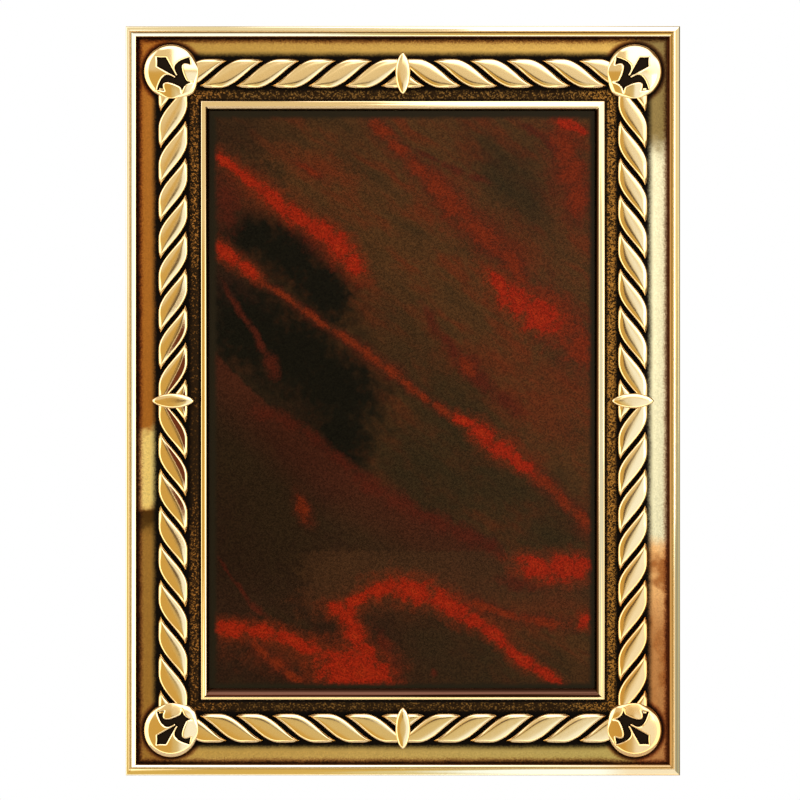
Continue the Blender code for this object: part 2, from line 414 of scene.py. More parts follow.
def lilyOutline():
    size = lily
    half = bezier(size["tip"], size["shoulderBend"], size["shoulder"])
    half += [Vector(size["shoulder"]), Vector(size["stem"])]
    half += bezier(size["fork"], size["rise"], size["crest"], size["petalTip"])
    half += [Vector(size["petalTip"])]
    half += bezier(size["barb"], size["hollow"], size["under"], size["waist"])
    half += bezier(size["waist"], size["footBend"], size["footTip"])
    half += bezier(size["footTip"], size["footArch"], size["footMiddle"])
    mirrored = [Vector((-point.x, point.y)) for point in half[:0:-1]]
    return half + [Vector(size["footMiddle"])] + mirrored


def outlineDistance(point, outline):
    # distance to the outline, negative inside it
    inside = False
    nearest = 1e9
    px, py = point
    count = len(outline)
    for index in range(count):
        ax, ay = outline[index]
        bx, by = outline[(index + 1) % count]
        dx, dy = bx - ax, by - ay
        length = dx * dx + dy * dy
        part = ((px - ax) * dx + (py - ay) * dy) / length if length else 0.0
        part = min(max(part, 0.0), 1.0)
        ex, ey = px - ax - dx * part, py - ay - dy * part
        nearest = min(nearest, ex * ex + ey * ey)
        if (ay > py) != (by > py) and px < (bx - ax) * (py - ay) / (by - ay) + ax:
            inside = not inside
    return -math.sqrt(nearest) if inside else math.sqrt(nearest)


def bossReach(across, outward, radius):
    # how far the boss reaches in one direction, with its lobe towards the plate
    angle = math.atan2(across, -outward)
    return radius + boss["lobeReach"] * math.exp(-(angle / boss["lobeSpread"]) ** 2)


def rimShare(across, outward):
    # 1 for the whole rim, less where a rope runs into the boss
    angle = abs(math.atan2(across, -outward)) - math.radians(boss["ropeTurn"])
    return 1 - boss["ropeFade"] * math.exp(-(angle / boss["ropeSpread"]) ** 2)


def buildBoss():
    # one boss in its own frame: x across, y towards the outer corner
    bm = bmesh.new()
    wearAndShade = bm.verts.layers.float.new("wearAndShade")
    outline = [tuple(point) for point in lilyOutline()]
    segments = boss["segments"]
    bmesh.ops.create_grid(bm, x_segments=segments, y_segments=segments, size=1)
    ground = plaque["field"]
    rimWidth = boss["rim"][-1][0]
    top = ground + boss["rimTop"]
    for vert in bm.verts:
        x, y, _ = vert.co
        across = x * math.sqrt(1 - y * y / 2)
        outward = y * math.sqrt(1 - x * x / 2)
        brow = boss["radius"] - rimWidth * rimShare(across, outward)
        reach = bossReach(across, outward, brow)
        distance = math.hypot(across, outward)
        across *= reach
        outward *= reach
        gap = outlineDistance((across, outward), outline)
        height = top + boss["dome"] * (1 - distance * distance)
        # the lily: a softened lip, then its wall, which is dark down to its floor
        height -= lily["lipDrop"] * smooth(lily["lip"], 0, gap)
        height -= (lily["depth"] - lily["lipDrop"]) * smooth(0.02, -lily["wall"], gap)
        vert.co = (across, outward, height)
        vert[wearAndShade] = 1.0 - 2.0 * smooth(0.06, -0.14, gap)
    rim = [edge for edge in bm.edges if edge.is_boundary]
    for out, drop in boss["rim"] + ((rimWidth, boss["rimTop"] + boss["sink"]),):
        made = bmesh.ops.extrude_edge_only(bm, edges=rim)["geom"]
        rim = [item for item in made if isinstance(item, bmesh.types.BMEdge)]
        for vert in [item for item in made if isinstance(item, bmesh.types.BMVert)]:
            flat = Vector((vert.co.x, vert.co.y)).normalized()
            share = rimShare(flat.x, flat.y)
            radius = boss["radius"] - rimWidth * share + out * share
            buried = drop > boss["rimTop"]
            height = top - drop * (1 if buried else share)
            flat *= bossReach(flat.x, flat.y, radius)
            vert.co = (flat.x, flat.y, height)
            vert[wearAndShade] = 0.0 if buried else 1.0
    closeUp(bm)
    return bm


def buildBosses(target):
    halfX = plaque["width"] / 2 - boss["inset"]
    halfY = plaque["height"] / 2 - boss["inset"]
    pattern = buildBoss()
    half = math.sqrt(0.5)
    for signX in (-1, 1):
        for signY in (-1, 1):
            bm = pattern.copy()
            for vert in bm.verts:
                across, outward, height = vert.co
                x = signX * (halfX + half * (outward + across))
                y = signY * (halfY + half * (outward - across))
                vert.co = (x, y, height)
            bmesh.ops.recalc_face_normals(bm, faces=bm.faces)
            addTo(target, bm)
    pattern.free()


drop = {
    "length": 11.0,
    "width": 3.9,
    "shoulder": 1.7,
    "rise": 0.7,
    "flatness": 0.45,
    "power": 1.3,
    "foot": 0.4,
    "footWorn": 0.1,
    "edgeWorn": 0.6,
    "firstTurn": 4,
    "lastTurn": 84,
    "cuts": 24,
    "rings": 6,
}


def dropRing(scale, height):
    ring = []
    cuts = drop["cuts"]
    for side in (1, -1):
        for index in range(cuts):
            angle = math.pi * index / cuts
            along = side * drop["length"] / 2 * math.cos(angle) * scale
            across = side * drop["width"] / 2 * math.sin(angle) ** drop["power"] * scale
            ring.append(Vector((along, across, height)))
    return ring


def buildDrops(target):
    shoulder = plaque["field"] + drop["shoulder"]
    centreX = plaque["width"] / 2 - rope["inset"]
    centreY = plaque["height"] / 2 - rope["inset"]
    for turned, x, y in ((0, -centreX, 0), (0, centreX, 0), (1, 0, -centreY), (1, 0, centreY)):
        bm = bmesh.new()
        wearAndShade = bm.verts.layers.float.new("wearAndShade")
        cap = startRing(bm, dropRing(1, plaque["field"] - rope["sink"]))
        cap = growRing(bm, cap, dropRing(1, shoulder - drop["foot"]), wearAndShade, drop["footWorn"])
        for index in range(drop["rings"] + 1):
            turn = (drop["lastTurn"] - drop["firstTurn"]) * index / drop["rings"]
            angle = math.radians(drop["firstTurn"] + turn)
            height = shoulder + drop["rise"] * math.sin(angle) ** drop["flatness"]
            wear = drop["edgeWorn"] if index == 0 else 1.0
            scale = math.cos(angle) ** drop["flatness"]
            cap = growRing(bm, cap, dropRing(scale, height), wearAndShade, wear)
        closeUp(bm)
        if turned:
            spin = Matrix.Rotation(math.radians(90), 3, "Z")
            bmesh.ops.rotate(bm, matrix=spin, verts=bm.verts)
        bmesh.ops.translate(bm, vec=(x, y, 0), verts=bm.verts)
        addTo(target, bm)


plate = {
    "gap": 0.2,
    "bottom": 1.9,
    "thickness": 0.6,
    "edge": 0.12,
}


def buildPlate(opening):
    bm = bmesh.new()
    bmesh.ops.create_cube(bm, size=1)
    left, right, low, high = opening
    wide = right - left - 2 * plate["gap"]
    tall = high - low - 2 * plate["gap"]
    middle = ((left + right) / 2, (low + high) / 2, plate["bottom"] + plate["thickness"] / 2)
    bmesh.ops.scale(bm, vec=(wide, tall, plate["thickness"]), verts=bm.verts)
    bmesh.ops.translate(bm, vec=middle, verts=bm.verts)
    bmesh.ops.bevel(
        bm,
        geom=bm.edges[:],
        offset=plate["edge"],
        segments=3,
        profile=0.5,
        affect="EDGES",
        material=-1,
    )
    bmesh.ops.recalc_face_normals(bm, faces=bm.faces)
    return bm


class Wire:
    # a node socket that takes Python's arithmetic
    def __init__(self, board, socket):
        self.board = board
        self.socket = socket

    def maths(self, operation, *values):
        return self.board.node("ShaderNodeMath", {"operation": operation}, values or [self])

    def __add__(self, other):
        return self.maths("ADD", self, other)

    def __radd__(self, other):
        return self.maths("ADD", other, self)

    def __sub__(self, other):
        return self.maths("SUBTRACT", self, other)

    def __rsub__(self, other):
        return self.maths("SUBTRACT", other, self)

    def __mul__(self, other):
        return self.maths("MULTIPLY", self, other)

    def __rmul__(self, other):
        return self.maths("MULTIPLY", other, self)

    def __truediv__(self, other):
        return self.maths("DIVIDE", self, other)

    def __neg__(self):
        return self.maths("MULTIPLY", self, -1)

    def __abs__(self):
        return self.maths("ABSOLUTE")

    def __pow__(self, other):
        return self.maths("POWER", self, other)

    def least(self, other):
        return self.maths("MINIMUM", self, other)

    def most(self, other):
        return self.maths("MAXIMUM", self, other)

    def ramp(self, low, high):
        # 0 at low, 1 at high, smooth between
        settings = {"interpolation_type": "SMOOTHSTEP"}
        return self.board.node("ShaderNodeMapRange", settings, [self, low, high, 0, 1])

    def between(self, rise, fall):
        # 1 between two soft edges, each given as its low and high
        return self.ramp(*rise) * (1 - self.ramp(*fall))


class Board:
    # the nodes of one material or world
    def __init__(self, owner, ending):
        owner.use_nodes = True
        self.owner = owner
        self.tree = owner.node_tree
        self.shader = self.tree.nodes[ending]

    def node(self, kind, settings, values, output=0):
        made = self.tree.nodes.new(kind)
        for key, value in settings.items():
            setattr(made, key, value)
        pairs = values.items() if isinstance(values, dict) else enumerate(values)
        for key, value in pairs:
            self.join(made.inputs[key], value)
        return Wire(self, made.outputs[output])

    def join(self, socket, value):
        if isinstance(value, Wire):
            self.tree.links.new(value.socket, socket)
        else:
            socket.default_value = value

    def set(self, **values):
        for key, value in values.items():
            self.join(self.shader.inputs[key.replace("_", " ")], value)

    def mix(self, share, first, second):
        # a colour between two colours
        return self.node("ShaderNodeMix", {"data_type": "RGBA"}, {0: share, 6: first, 7: second}, 2)

    def noise(self, vector, scale, detail=3.0, roughness=0.55):
        values = {"Vector": vector, "Scale": scale, "Detail": detail, "Roughness": roughness}
        return self.node("ShaderNodeTexNoise", {}, values)

    def scaled(self, vector, factor):
        settings = {"operation": "SCALE"}
        return self.node("ShaderNodeVectorMath", settings, {0: vector, "Scale": factor})

    def moved(self, point, drift, reach):
        # a point pushed about by a noise colour
        middle = (0.5, 0.5, 0.5)
        centred = self.node("ShaderNodeVectorMath", {"operation": "SUBTRACT"}, [drift, middle])
        push = self.scaled(centred, reach * 2)
        return self.node("ShaderNodeVectorMath", {"operation": "ADD"}, [point, push])

    def cells(self, vector, scale):
        # a number of its own for each small cell
        colour = self.node("ShaderNodeTexVoronoi", {}, {"Vector": vector, "Scale": scale}, 1)
        return self.split(colour)[0]

    def dotted(self, point, first, second):
        # a point measured along two axes of its own
        sides = [self.dot(point, first), self.dot(point, second), 0.0]
        return self.node("ShaderNodeCombineXYZ", {}, sides)

    def dot(self, point, axis):
        return self.node("ShaderNodeVectorMath", {"operation": "DOT_PRODUCT"}, [point, axis], 1)

    def place(self):
        # object coordinates in millimetres, with x, height up the wall, and depth
        point = self.scaled(self.node("ShaderNodeTexCoord", {}, [], 3), 1000.0)
        x, y, z = self.split(point)
        return point, x, z, -y

    def split(self, vector):
        first = self.node("ShaderNodeSeparateXYZ", {}, [vector])
        return [Wire(self, socket) for socket in first.socket.node.outputs]


brassLook = {
    "polished": (0.88, 0.64, 0.34, 1),
    # paler brass for the outer rim, a painted highlight
    "rim": (0.94, 0.80, 0.54, 1),
    # a painted amber reflection for polished brass low on the right
    "amberReflection": (0.80, 0.46, 0.16, 1),
    # painted shade for polished brass on the right side
    "shadedBrass": (0.32, 0.25, 0.125, 1),
    "groove": (0.66, 0.46, 0.21, 1),
    # painted shade for the dark lines on the rim
    "rimShade": (0.40, 0.20, 0.045, 1),
    # field tones by side: patina, with a painted reflection in each side's tone, the right one a
    # painted cream sheen
    "fieldTop": (0.39, 0.225, 0.052, 1),
    "fieldBottom": (0.48, 0.31, 0.090, 1),
    "fieldCorner": (0.36, 0.25, 0.070, 1),
    "fieldLeft": (0.345, 0.125, 0.020, 1),
    "fieldLow": (0.310, 0.160, 0.036, 1),
    "strawSheen": (0.76, 0.56, 0.20, 1),
    "fieldRightSheen": (0.52, 0.45, 0.28, 1),
    "olive": (0.155, 0.100, 0.032, 1),
    "copper": (0.27, 0.090, 0.022, 1),
    "apricot": (0.56, 0.28, 0.10, 1),
    # umber: a painted dark reflection on the left strands and painted shade on the right rim's
    # inner fall
    "umberShade": (0.105, 0.022, 0.0055, 1),
    "fade": (1.0, 0.38, 0.22),
    "patina": (0.010, 0.005, 0.002, 1),
    "stippleTop": (0.21, 0.100, 0.024, 1),
    "stippleLeft": (0.36, 0.14, 0.026, 1),
    "stippleRight": (0.31, 0.13, 0.022, 1),
    "stippleGround": (0.016, 0.0070, 0.0016, 1),
    # painted dark reflections for the bevels round the plate
    "sideBevelShade": (0.050, 0.020, 0.006, 1),
    "lowBevelEdgeShade": (0.020, 0.004, 0.001, 1),
    "lowBevelShade": (0.10, 0.042, 0.024, 1),
}


# places on the brass in millimetres
brassPlaces = {
    # along the sides, from the middle of the plaque
    "cornerTone": (-30, 60),
    "topTone": (-60, 60),
    "side": (58, 63),
    "lowTone": (26, 34),
    # the straw patch is a painted highlight and the dark band below it a painted dark reflection
    "strawSheen": ((6, 9), (26, 29)),
    "darkReflectionBand": ((27, 29), (31, 36)),
    "lowerRight": (34, 40),
    "blotchEnd": (46, 62),
    "olive": (63, 70),
    "rightEdge": (50, 60),
    "innerEdge": (40, 56),
    # inward from the nearest edge
    "fieldStart": (2.95, 4.95),
    "fieldEnd": (6.1, 8.1),
    "stipple": ((16.3, 17.6), (18.7, 19.3)),
    "grooveEnd": (2.4, 2.6),
    "rimHighlightEnd": (2.6, 2.9),
    "bossShadow": (7.6, 9.4),  # from the middle of a boss
    "front": (0.2, 0.9),  # from the back
    # strips along one side: start, end, strength and tone
    "stripEdge": 0.13,
    # painted shade on the right side's outer band and bead crest
    "shadeStrips": (
        ("right", -0.3, 1.35, 1, "shadedBrass"),
        ("right", 19.4, 21.2, 0.4, "shadedBrass"),
    ),
    # painted shade lines on the rim and bead, placed differently on each side
    "rimShadeStrips": (
        ("above", 1.35, 2.0, 0.8),
        ("below", 1.75, 2.15, 0.6),
        ("right", 2.15, 3.3, 0.85),
        ("left", 0.95, 1.35, 0.6),
        ("right", 0.9, 1.25, 0.55),
    ),
    # painted dark reflections on the bevels round the plate and painted shade on the right rim's
    # inner fall
    "bevelShadeStrips": (
        ("right", 2.45, 3.3, 0.65, "umberShade"),
        ("left", 21.0, 24, 1, "sideBevelShade"),
        ("right", 21.2, 24, 1, "sideBevelShade"),
        ("below", 20.45, 21.3, 1, "lowBevelEdgeShade"),
        ("below", 21.1, 24, 1, "lowBevelShade"),
    ),
}


def fieldPatinaAndSheen(board, point, x, y, cloud):
    # the field's patina with painted reflections, which differ from side to side
    look = brassLook
    places = brassPlaces
    level = y + (cloud - 0.5) * 8
    low = -level
    ground = board.mix(x.ramp(*places["cornerTone"]), look["fieldBottom"], look["fieldCorner"])
    ground = board.mix(y.ramp(*places["topTone"]), ground, look["fieldTop"])
    # along the left side, with a painted straw highlight that ends in a band of painted dark
    # reflection
    left = board.mix(low.ramp(*places["lowTone"]), look["fieldLeft"], look["fieldLow"])
    left = board.mix(low.between(*places["strawSheen"]), left, look["strawSheen"])
    left = board.mix(low.between(*places["darkReflectionBand"]) * 0.8, left, look["patina"])
    ground = board.mix((-x).ramp(*places["side"]), ground, left)
    # along the right side, a painted cream sheen, copper blotches low down and olive at the top
    blotch = board.noise(point, 0.13, 2.0).ramp(0.42, 0.56)
    blotch = blotch * (1 - low.ramp(*places["blotchEnd"]) * 0.75)
    lower = board.mix(blotch, look["copper"], look["apricot"])
    right = board.mix(low.ramp(*places["lowerRight"]), look["fieldRightSheen"], lower)
    right = board.mix(level.ramp(*places["olive"]), right, look["olive"])
    return board.mix(x.ramp(*places["side"]), ground, right)


def stippleTone(board, x, y, fine):
    # the inner field keeps a brass stipple, thin along the left side
    look = brassLook
    leftShare = (-x).ramp(*brassPlaces["innerEdge"])
    rightShare = x.ramp(*brassPlaces["innerEdge"])
    share = rightShare * 0.25 - (-y).ramp(60, 80) * 0.12 - y.ramp(60, 80) * 0.05
    share = share - leftShare * (1 - abs(y).ramp(15, 50)) * 0.3
    speck = (fine + share).ramp(0.50, 1.1)
    stipple = board.mix(leftShare, look["stippleTop"], look["stippleLeft"])
    stipple = board.mix(rightShare, stipple, look["stippleRight"])
    return speck, board.mix(speck, look["stippleGround"], stipple)


def brassMaterial():
    # polished on what stands up, with patina in what is sunk
    board = Board(bpy.data.materials.new("antique brass"), "Principled BSDF")
    look = brassLook
    places = brassPlaces
    point, x, y, depth = board.place()
    wearAndShade = board.node("ShaderNodeAttribute", {"attribute_name": "wearAndShade"}, [], 2)
    sides = {
        "left": x + plaque["width"] / 2,
        "right": plaque["width"] / 2 - x,
        "below": y + plaque["height"] / 2,
        "above": plaque["height"] / 2 - y,
    }
    inward = sides["left"].least(sides["right"])
    inward = inward.least(sides["below"].least(sides["above"]))

    def strip(name, start, end, strength):
        side = sides[name]
        soft = places["stripEdge"]
        band = side.between((start - soft, start + soft), (end - soft, end + soft))
        return band * (1 - (side - inward).ramp(0, 0.08)) * strength

    def stripped(colour, strips):
        for name, start, end, strength, tone in strips:
            colour = board.mix(strip(name, start, end, strength), colour, look[tone])
        return colour

    grain = board.noise(point, 2.9, 2.0, 0.75)
    fine = board.cells(point, 3.3)
    cloud = board.noise(point, 0.22, 3.0)
    clean = (wearAndShade + (grain - 0.5) * 0.16).ramp(0.42, 0.62)
    rightEdge = x.ramp(*places["rightEdge"])
    # the field's patina, with painted reflections along each side
    ground = fieldPatinaAndSheen(board, point, x, y, cloud)
    # dark on both edges of the field and round the bosses, through brown on the outer edge
    wander = inward + (cloud - 0.5) * 0.6 + (grain - 0.5) * 0.9 + (fine - 0.5) * 0.35
    rise = (wander + rightEdge * 0.3).ramp(*places["fieldStart"])
    fromBossX = abs(x) - (plaque["width"] / 2 - boss["inset"])
    fromBossY = abs(y) - (plaque["height"] / 2 - boss["inset"])
    bossGap = (fromBossX * fromBossX + fromBossY * fromBossY) ** 0.5
    rise = rise.least((bossGap + grain * 0.8).ramp(*places["bossShadow"]))
    clear = rise * (1 - (wander - rightEdge * 0.6).ramp(*places["fieldEnd"]))
    faded = board.node("ShaderNodeVectorMath", {"operation": "MULTIPLY"}, [ground, look["fade"]])
    ground = board.mix(rise, faded, ground)
    ground = board.scaled(ground, clear * (0.7 + grain * 0.36 + fine * 0.24))
    ground = board.mix((1 - clear) * 0.3, ground, look["patina"])
    inner = (inward + (cloud - 0.5) * 0.6).ramp(*places["stipple"][0])
    inner = inner * (1 - inward.ramp(*places["stipple"][1]))
    speck, stipple = stippleTone(board, x, y, fine)
    ground = board.mix(inner, ground, stipple)
    # black in the lilies, umber as a painted dark reflection on the left strands, bare in the rim's
    # groove
    ground = board.mix((-wearAndShade).ramp(0.15, 0.6), ground, look["patina"])
    ground = board.mix(wearAndShade.ramp(0.12, 0.24), ground, look["umberShade"])
    rimGroove = 1 - inward.ramp(*places["grooveEnd"])
    ground = board.mix(rimGroove, ground, look["groove"])
    # the outer rim's brass is painted paler, a painted highlight
    polished = board.mix(inward.ramp(*places["rimHighlightEnd"]), look["rim"], look["polished"])
    # polished brass low on the right is painted amber, a painted reflection
    polished = board.mix(rightEdge * (-y).ramp(30, 55) * 0.6, polished, look["amberReflection"])
    # painted shade on the right side's outer band and bead crest
    polished = stripped(polished, places["shadeStrips"])
    colour = board.mix(clean, ground, polished)
    # painted shade in the lines of the rim, and painted dark reflections on the bevels round the
    # plate
    rimShade = 0
    for settings in places["rimShadeStrips"]:
        rimShade = strip(*settings) + rimShade
    colour = board.mix(rimShade * clean, colour, look["rimShade"])
    colour = stripped(colour, places["bevelShadeStrips"])
    # the back is plain
    colour = board.mix(depth.ramp(*places["front"]), look["polished"], colour)
    dark = (1 - clean) * (1 - clear.most(inner * speck).most(rimGroove))
    bumpHeight = grain * (1 - clean) * 0.8 + cloud * 0.3
    values = {"Strength": 0.3, "Distance": 0.0001, "Height": bumpHeight}
    board.set(
        Base_Color=colour,
        Metallic=1 - dark * 0.3,
        Specular_IOR_Level=0.1,
        Roughness=0.09 + (1 - clean) * 0.23 + dark * 0.3,
        Normal=board.node("ShaderNodeBump", {}, values),
    )
    return board.owner


marble = {
    "ground": (0.0122, 0.0060, 0.0028, 1),
    "tan": (0.0440, 0.0170, 0.0050, 1),
    "ember": (0.0720, 0.0115, 0.0030, 1),
    "plum": (0.0185, 0.0052, 0.0032, 1),
    "olive": (0.0150, 0.0098, 0.0036, 1),
    "black": (0.0040, 0.0032, 0.0016, 1),
    "maroon": (0.044, 0.0066, 0.0028, 1),
    "red": (0.158, 0.0082, 0.0020, 1),
    "rust": (0.090, 0.0108, 0.0026, 1),
    "flame": (0.205, 0.0165, 0.0030, 1),
    "claret": (0.036, 0.0080, 0.0034, 1),
    "clay": (0.0300, 0.0120, 0.0046, 1),
    "border": (0.0125, 0.0088, 0.0042, 1),
    "halfWidth": 49.1,
    "halfHeight": 74.2,
    "drift": 1.4,
    "ripple": 0.45,
    # coats of each set: low and high nearness to a vein, strength and paint
    "coats": {
        "brown": ((-0.3, 0.6, 0.8, "tan"),),
        "wine": ((-0.6, 0.6, 0.8, "plum"),),
        "shade": ((-1.0, 1.0, 0.8, "olive"),),
        "haze": ((-0.5, 1.0, 0.6, "ember"),),
        "dark": ((-0.5, 0.6, 1, "black"),),
        "faint": ((-0.6, 0.9, 0.8, "maroon"),),
        "middle": ((-1.2, 0.4, 0.5, "maroon"), (-0.2, 0.8, 1, "rust")),
        "bright": ((-1.0, 0.5, 0.7, "rust"), (-0.1, 0.6, 1, "red"), (0.5, 1.4, 0.6, "flame")),
    },
    # veins and clouds as points: x, height and half width
    "bright": (
        ((-48.8, 64.6, 1.6), (-43.2, 60.4, 1.7), (-38.0, 56.0, 2.2), (-30.8, 50.2, 2.6)),
        ((-30.8, 50.2, 2.6), (-24.3, 45.8, 2.2), (-18.4, 42.4, 3.0), (-14.5, 38.0, 3.4)),
        ((-14.5, 38.0, 3.4), (-11.2, 33.6, 1.8)),
        ((-48.8, 40.3, 2.0), (-43.2, 35.8, 2.2), (-38.0, 32.5, 1.2)),
        ((13.6, -4.0, 1.2), (18.2, -6.7, 1.9), (23.4, -10.9, 3.4), (28.0, -14.2, 2.6)),
        ((28.0, -14.2, 2.3), (33.9, -18.7, 1.7)),
        ((41.1, 72.8, 1.6), (45.0, 72.4, 1.5), (48.0, 70.1, 1.5)),
        ((22.8, 32.9, 1.2), (27.3, 28.7, 3.2), (32.6, 24.2, 5.0), (39.0, 20.5, 4.6)),
        ((31.3, -42.9, 2.3), (38.5, -44.2, 4.0), (47.6, -43.6, 3.6)),
        ((-48.8, -59.3, 2.9), (-41.3, -59.9, 2.6), (-33.4, -60.6, 2.3), (-22.3, -65.8, 2.3)),
        ((-19.1, -69.7, 5.8), (-13.8, -71.0, 6.2), (-7.3, -71.0, 5.2), (-4.7, -72.3, 3.0)),
        ((-19.7, -54.0, 1.9), (-15.8, -54.7, 1.9), (-8.6, -50.1, 2.0), (-3.4, -48.2, 3.3)),
        ((-3.4, -48.2, 3.3), (7.7, -50.8, 3.3), (16.2, -56.0, 2.6), (20.8, -58.6, 2.0)),
        ((20.8, -58.6, 2.0), (27.3, -64.5, 2.0), (33.9, -69.7, 2.0), (40.4, -73.6, 1.3)),
        ((-14.5, -54.7, 2.9), (-13.8, -58.6, 2.9), (-11.2, -63.8, 2.3), (-8.0, -67.8, 2.3)),
        ((47.6, -57.3, 2.0), (47.6, -58.6, 2.0)),
    ),
    "middle": (
        ((-40.0, 33.8, 1.3), (-36.1, 30.9, 1.2), (-26.9, 24.4, 0.9), (-18.4, 18.5, 1.0)),
        ((-18.4, 18.5, 1.0), (-11.2, 13.9, 1.1), (-6.0, 10.3, 1.8), (-0.8, 5.8, 1.6)),
        ((-0.8, 5.8, 1.3), (3.8, 2.2, 1.1), (7.7, -0.8, 1.0), (13.6, -4.0, 1.3)),
        ((33.9, -18.7, 1.9), (39.8, -24.0, 1.9), (44.4, -28.6, 2.0), (48.3, -33.8, 1.8)),
        ((-8.0, 73.4, 2.0), (-3.4, 69.0, 2.0), (1.2, 63.6, 1.8), (7.1, 57.7, 2.4)),
        ((7.1, 57.7, 2.4), (11.0, 54.0, 3.2), (15.6, 48.6, 3.6), (25.4, 39.4, 3.0)),
        ((41.7, 70.2, 3.4), (43.0, 63.3, 4.0), (45.0, 57.1, 3.6), (46.3, 49.8, 2.3)),
        ((-27.0, 62.0, 0.9), (-21.7, 59.0, 1.0)),
        ((36.5, 26.4, 3.3), (44.0, 17.0, 5.4), (48.0, 11.0, 4.0)),
        ((25.4, 39.4, 2.6), (31.0, 33.0, 1.8)),
        ((-40.0, -63.8, 1.3), (-34.8, -67.1, 1.5), (-30.8, -70.4, 1.5), (-26.9, -73.7, 0.8)),
        ((-26.9, -26.2, 1.5), (-25.3, -30.9, 1.8)),
        ((17.5, -52.7, 1.3), (24.1, -54.7, 1.5), (29.3, -56.7, 1.3), (44.0, -59.0, 1.3)),
        ((14.9, 10.7, 1.6), (18.8, 6.7, 1.8)),
    ),
    "faint": (
        ((3.8, 65.6, 0.7), (9.7, 62.3, 0.8), (16.2, 59.0, 0.9), (22.8, 57.1, 1.0)),
        ((18.8, 44.7, 2.6), (24.1, 39.4, 1.6), (30.6, 34.9, 1.4)),
        ((5.8, 24.4, 1.6), (9.7, 17.2, 1.6), (14.9, 10.7, 2.0), (24.1, 1.5, 2.3)),
        ((24.1, 1.5, 2.3), (30.0, -2.0, 2.0)),
        ((-46.5, 29.6, 0.8), (-40.0, 19.8, 0.9), (-35.4, 11.3, 1.2), (-34.1, 7.4, 2.6)),
        ((-38.0, -3.0, 2.0), (-33.4, -3.7, 1.9), (-26.9, -7.0, 1.6), (-20.4, -12.2, 1.6)),
        ((-20.4, -12.2, 1.6), (-12.5, -18.8, 1.9), (-4.0, -24.6, 2.4), (4.5, -29.9, 2.4)),
        ((4.5, -29.9, 2.4), (12.3, -33.1, 2.2), (20.8, -37.1, 2.2), (25.4, -39.7, 1.4)),
        ((-6.0, -61.2, 1.3), (-2.7, -66.5, 2.0), (-0.8, -73.0, 2.0)),
        ((-47.8, -41.6, 0.5), (-44.5, -46.9, 0.5), (-40.0, -52.7, 0.8), (-35.4, -56.0, 0.8)),
        ((25.4, -46.9, 1.6), (35.2, -48.8, 1.8)),
        ((29.3, 73.4, 0.8), (36.5, 68.8, 1.0), (41.1, 64.9, 1.2)),
        ((-47.0, 57.0, 3.0), (-46.0, 47.0, 3.5)),
        ((-26.0, 45.0, 3.0), (-17.0, 38.0, 3.5)),
        ((7.7, -71.0, 0.9), (8.4, -71.7, 0.8)),
    ),
    "dark": (
        ((-44.0, 44.0, 4.0), (-34.0, 42.5, 7.0), (-25.0, 34.0, 9.0), (-17.0, 24.5, 7.0)),
        ((-46.0, 22.0, 10.0), (-34.0, 16.0, 12.5), (-23.0, 9.0, 12.0), (-13.0, -1.0, 9.5)),
        ((-17.0, -3.0, 9.0), (-14.0, -14.0, 4.5)),
    ),
    "brown": (
        ((-24.0, -44.0, 5.0), (-4.0, -45.0, 6.0), (20.0, -50.0, 7.0), (44.0, -53.0, 7.0)),
        ((-30.0, 62.0, 8.0), (-14.0, 52.0, 9.0), (0.0, 36.0, 9.0), (16.0, 20.0, 9.0)),
    ),
    "haze": (
        ((30.0, 1.0, 6.0), (46.0, -9.0, 8.0)),
        ((6.0, 56.0, 5.0), (18.0, 46.0, 8.0), (34.0, 36.0, 7.0)),
        ((-46.0, 60.0, 5.0), (-30.0, 48.0, 7.0), (-16.0, 36.0, 7.0)),
        ((-30.0, 64.0, 4.0), (-14.0, 58.0, 4.0)),
        ((40.0, 70.0, 6.0), (46.0, 44.0, 6.0)),
        ((12.0, 12.0, 5.0), (34.0, 8.0, 6.0), (46.0, 2.0, 5.0)),
        ((-46.0, -63.0, 5.0), (-14.0, -68.0, 7.0)),
        ((-22.0, -52.0, 5.0), (4.0, -48.0, 6.0), (26.0, -54.0, 5.0), (46.0, -54.0, 6.0)),
    ),
    "wine": (
        ((-40.0, -8.0, 6.0), (-28.0, -14.0, 6.0), (-16.0, -24.0, 6.5), (-2.0, -31.0, 5.0)),
        ((-2.0, -31.0, 5.0), (12.0, -36.0, 3.6), (24.0, -39.0, 2.4)),
        ((-46.0, 30.0, 4.0), (-38.0, 20.0, 5.0)),
    ),
    "shade": (
        ((-46.0, -10.0, 8.0), (-36.0, -22.0, 12.0), (-30.0, -38.0, 12.0)),
        ((-16.0, -30.0, 9.0), (0.0, -36.0, 6.0), (20.0, -39.0, 2.5)),
        ((10.0, 4.0, 10.0), (22.0, -24.0, 12.0), (2.0, -16.0, 10.0)),
        ((30.0, 62.0, 7.0), (34.0, 48.0, 5.5), (22.0, 66.0, 6.0)),
        ((20.0, -20.0, 9.0), (34.0, -28.0, 9.0), (46.0, -36.0, 7.0)),
        ((28.0, -35.0, 4.0), (46.0, -36.0, 6.0)),
        ((14.0, -60.0, 7.0), (6.0, -68.0, 7.0), (24.0, -72.0, 6.0)),
    ),
}


